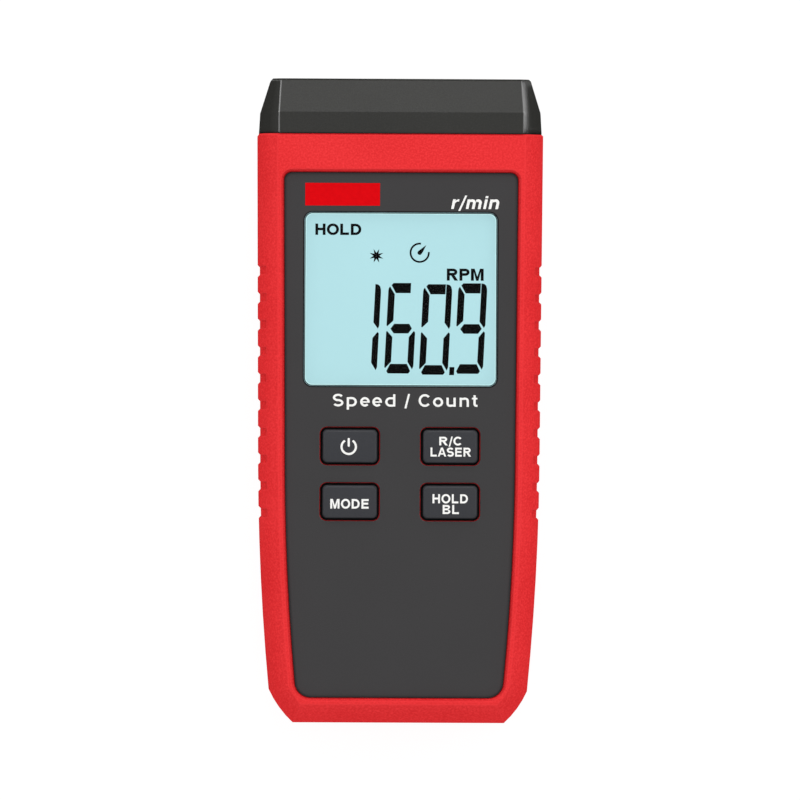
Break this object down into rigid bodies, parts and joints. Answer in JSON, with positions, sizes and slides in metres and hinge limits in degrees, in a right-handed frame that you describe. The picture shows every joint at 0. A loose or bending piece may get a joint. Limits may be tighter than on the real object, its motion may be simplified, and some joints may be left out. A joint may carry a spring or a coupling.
{
  "type": "laser tachometer",
  "caption": "Handheld laser tachometer with a tapered optical end cap, a display window, sprung keys, notched grip sides and a sliding battery cover.",
  "frame": {"origin": "centre of the bounding box on the back face, on which the meter lies", "axes": "+X across the width, to the right as the display is read; +Y along the length, towards the laser end; +Z out of the display"},
  "size_m": [0.058, 0.131, 0.028],
  "materials": {
    "red_shell": "satin",
    "cap_plastic": "satin",
    "plate_film": "matte",
    "window_clear": "gloss",
    "display_glass": "satin",
    "white_plastic": "matte",
    "light_box": "satin",
    "zebra_rubber": "matte",
    "board_laminate": "satin",
    "chip_plastic": "matte",
    "key_plastic": "satin",
    "dome_rubber": "matte",
    "laser_brass": "satin",
    "red_glass": "gloss",
    "lens_clear": "gloss",
    "sensor_plastic": "gloss",
    "black_plastic": "matte",
    "cover_plastic": "satin",
    "cell_wrap": "gloss",
    "contact_steel": "satin",
    "screw_steel": "satin"
  },
  "bodies": {
    "housing": {"front_shell": "red_shell", "rear_shell": "red_shell", "end_cap": "cap_plastic", "face_plate": "plate_film", "lcd_window": "window_clear", "lcd_glass": "display_glass", "lcd_holder": "white_plastic", "lcd_backlight": "light_box", "zebra_strip_upper": "zebra_rubber", "zebra_strip_lower": "zebra_rubber", "main_board": "board_laminate", "controller_chip": "chip_plastic", "dome_power": "dome_rubber", "dome_laser": "dome_rubber", "dome_mode": "dome_rubber", "dome_hold": "dome_rubber", "laser_module": "laser_brass", "laser_window": "red_glass", "receiver_lens": "lens_clear", "photo_sensor": "sensor_plastic", "optics_holder": "black_plastic", "cell_left": "cell_wrap", "cell_middle": "cell_wrap", "cell_right": "cell_wrap", "spring_left": "contact_steel", "spring_middle": "contact_steel", "spring_right": "contact_steel", "contact_foot_pair": "contact_steel", "contact_foot_single": "contact_steel", "contact_top_single": "contact_steel", "contact_top_pair": "contact_steel", "case_screws": "screw_steel", "board_screws": "screw_steel"},
    "power_key": {"key_power": "key_plastic"},
    "laser_key": {"key_laser": "key_plastic"},
    "mode_key": {"key_mode": "key_plastic"},
    "hold_key": {"key_hold": "key_plastic"},
    "cover": {"battery_cover": "cover_plastic"}
  },
  "joints": [
    {"name": "key_power_press", "type": "slide", "parent": "housing", "child": "power_key", "axis": [0, 0, -1], "range_m": [0, 0.0009], "stiffness_N_per_m": 800, "springref_m": -0.0003, "deforming": ["dome_power"]},
    {"name": "key_laser_press", "type": "slide", "parent": "housing", "child": "laser_key", "axis": [0, 0, -1], "range_m": [0, 0.0009], "stiffness_N_per_m": 800, "springref_m": -0.0003, "deforming": ["dome_laser"]},
    {"name": "key_mode_press", "type": "slide", "parent": "housing", "child": "mode_key", "axis": [0, 0, -1], "range_m": [0, 0.0009], "stiffness_N_per_m": 800, "springref_m": -0.0003, "deforming": ["dome_mode"]},
    {"name": "key_hold_press", "type": "slide", "parent": "housing", "child": "hold_key", "axis": [0, 0, -1], "range_m": [0, 0.0009], "stiffness_N_per_m": 800, "springref_m": -0.0003, "deforming": ["dome_hold"]},
    {"name": "battery_cover_slide", "type": "slide", "parent": "housing", "child": "cover", "axis": [0, -1, 0], "range_m": [0, 0.07]}
  ]
}
